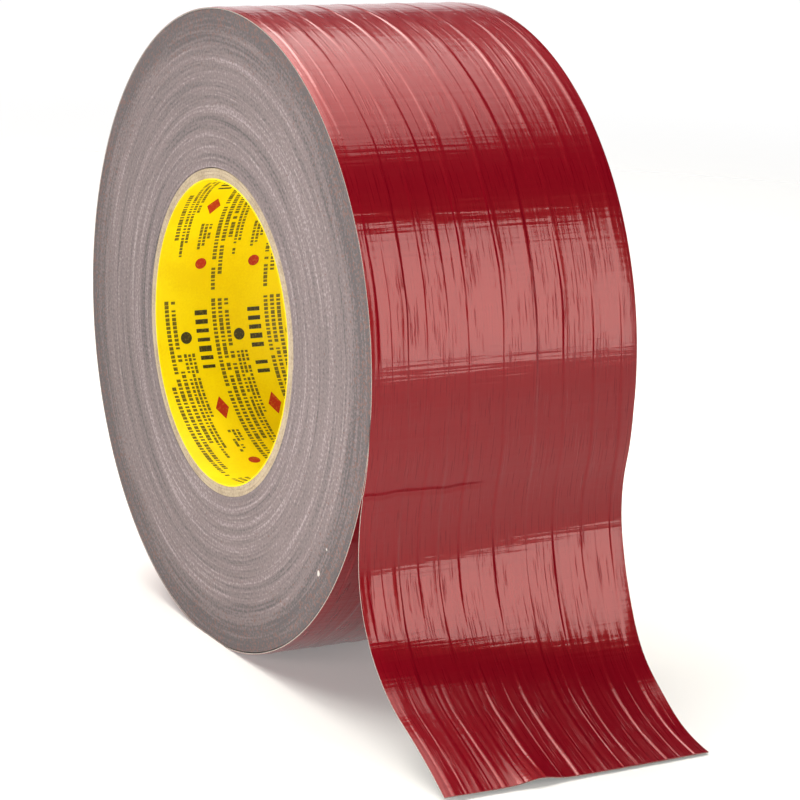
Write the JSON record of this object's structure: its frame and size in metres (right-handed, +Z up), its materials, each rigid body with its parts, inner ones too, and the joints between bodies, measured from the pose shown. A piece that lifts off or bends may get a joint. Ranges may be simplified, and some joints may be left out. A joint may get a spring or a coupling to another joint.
{
  "type": "duct tape roll",
  "caption": "Roll of glossy cloth-backed duct tape on a lined board core, standing on its rim, with its loose tail peeled and curling down to the floor.",
  "frame": {"origin": "middle of the core's bore, half-way across the tape's width", "axes": "+Y along the roll's axis, +Z up with the roll standing on its rim, +X towards the side where the tail hangs"},
  "size_m": [0.2027, 0.072, 0.1621],
  "materials": {
    "tape_film": "glossy film over cloth",
    "tape_cloth": "open weave",
    "tape_adhesive": "tacky",
    "tape_edge": "cut edges of wound tape",
    "core_board": "matt board",
    "liner_paper": "coated paper"
  },
  "bodies": {
    "roll": {"core_liner": "liner_paper", "core_inner_ply": "core_board", "core_middle_ply": "core_board", "core_outer_ply": "core_board", "wound_tape": "tape_edge", "outer_turn_adhesive": "tape_adhesive", "outer_turn_cloth": "tape_cloth", "outer_turn_film": "tape_film"},
    "tail_root": {"tail_root_adhesive": "tape_adhesive", "tail_root_cloth": "tape_cloth", "tail_root_film": "tape_film"},
    "tail_upper": {"tail_upper_adhesive": "tape_adhesive", "tail_upper_cloth": "tape_cloth", "tail_upper_film": "tape_film"},
    "tail_middle": {"tail_middle_adhesive": "tape_adhesive", "tail_middle_cloth": "tape_cloth", "tail_middle_film": "tape_film"},
    "tail_lower": {"tail_lower_adhesive": "tape_adhesive", "tail_lower_cloth": "tape_cloth", "tail_lower_film": "tape_film"},
    "tail_end": {"tail_end_adhesive": "tape_adhesive", "tail_end_cloth": "tape_cloth", "tail_end_film": "tape_film"}
  },
  "joints": [
    {"name": "unwind", "type": "hinge", "parent": "roll", "child": "tail_root", "pos_m": [0, 0, 0], "axis": [0, -1, 0], "continuous": true},
    {"name": "peel_bend", "type": "hinge", "parent": "tail_root", "child": "tail_upper", "pos_m": [0.07927, 0, -0.01977], "axis": [0, -1, 0], "range_deg": [0, 60], "stiffness_Nm_per_rad": 0.01},
    {"name": "middle_bend", "type": "hinge", "parent": "tail_upper", "child": "tail_middle", "pos_m": [0.07893, 0, -0.03953], "axis": [0, -1, 0], "range_deg": [0, 40], "stiffness_Nm_per_rad": 0.01},
    {"name": "lower_bend", "type": "hinge", "parent": "tail_middle", "child": "tail_lower", "pos_m": [0.08652, 0, -0.05786], "axis": [0, -1, 0], "range_deg": [0, 40], "stiffness_Nm_per_rad": 0.01},
    {"name": "end_bend", "type": "hinge", "parent": "tail_lower", "child": "tail_end", "pos_m": [0.10126, 0, -0.0709], "axis": [0, -1, 0], "range_deg": [0, 40], "stiffness_Nm_per_rad": 0.01}
  ]
}
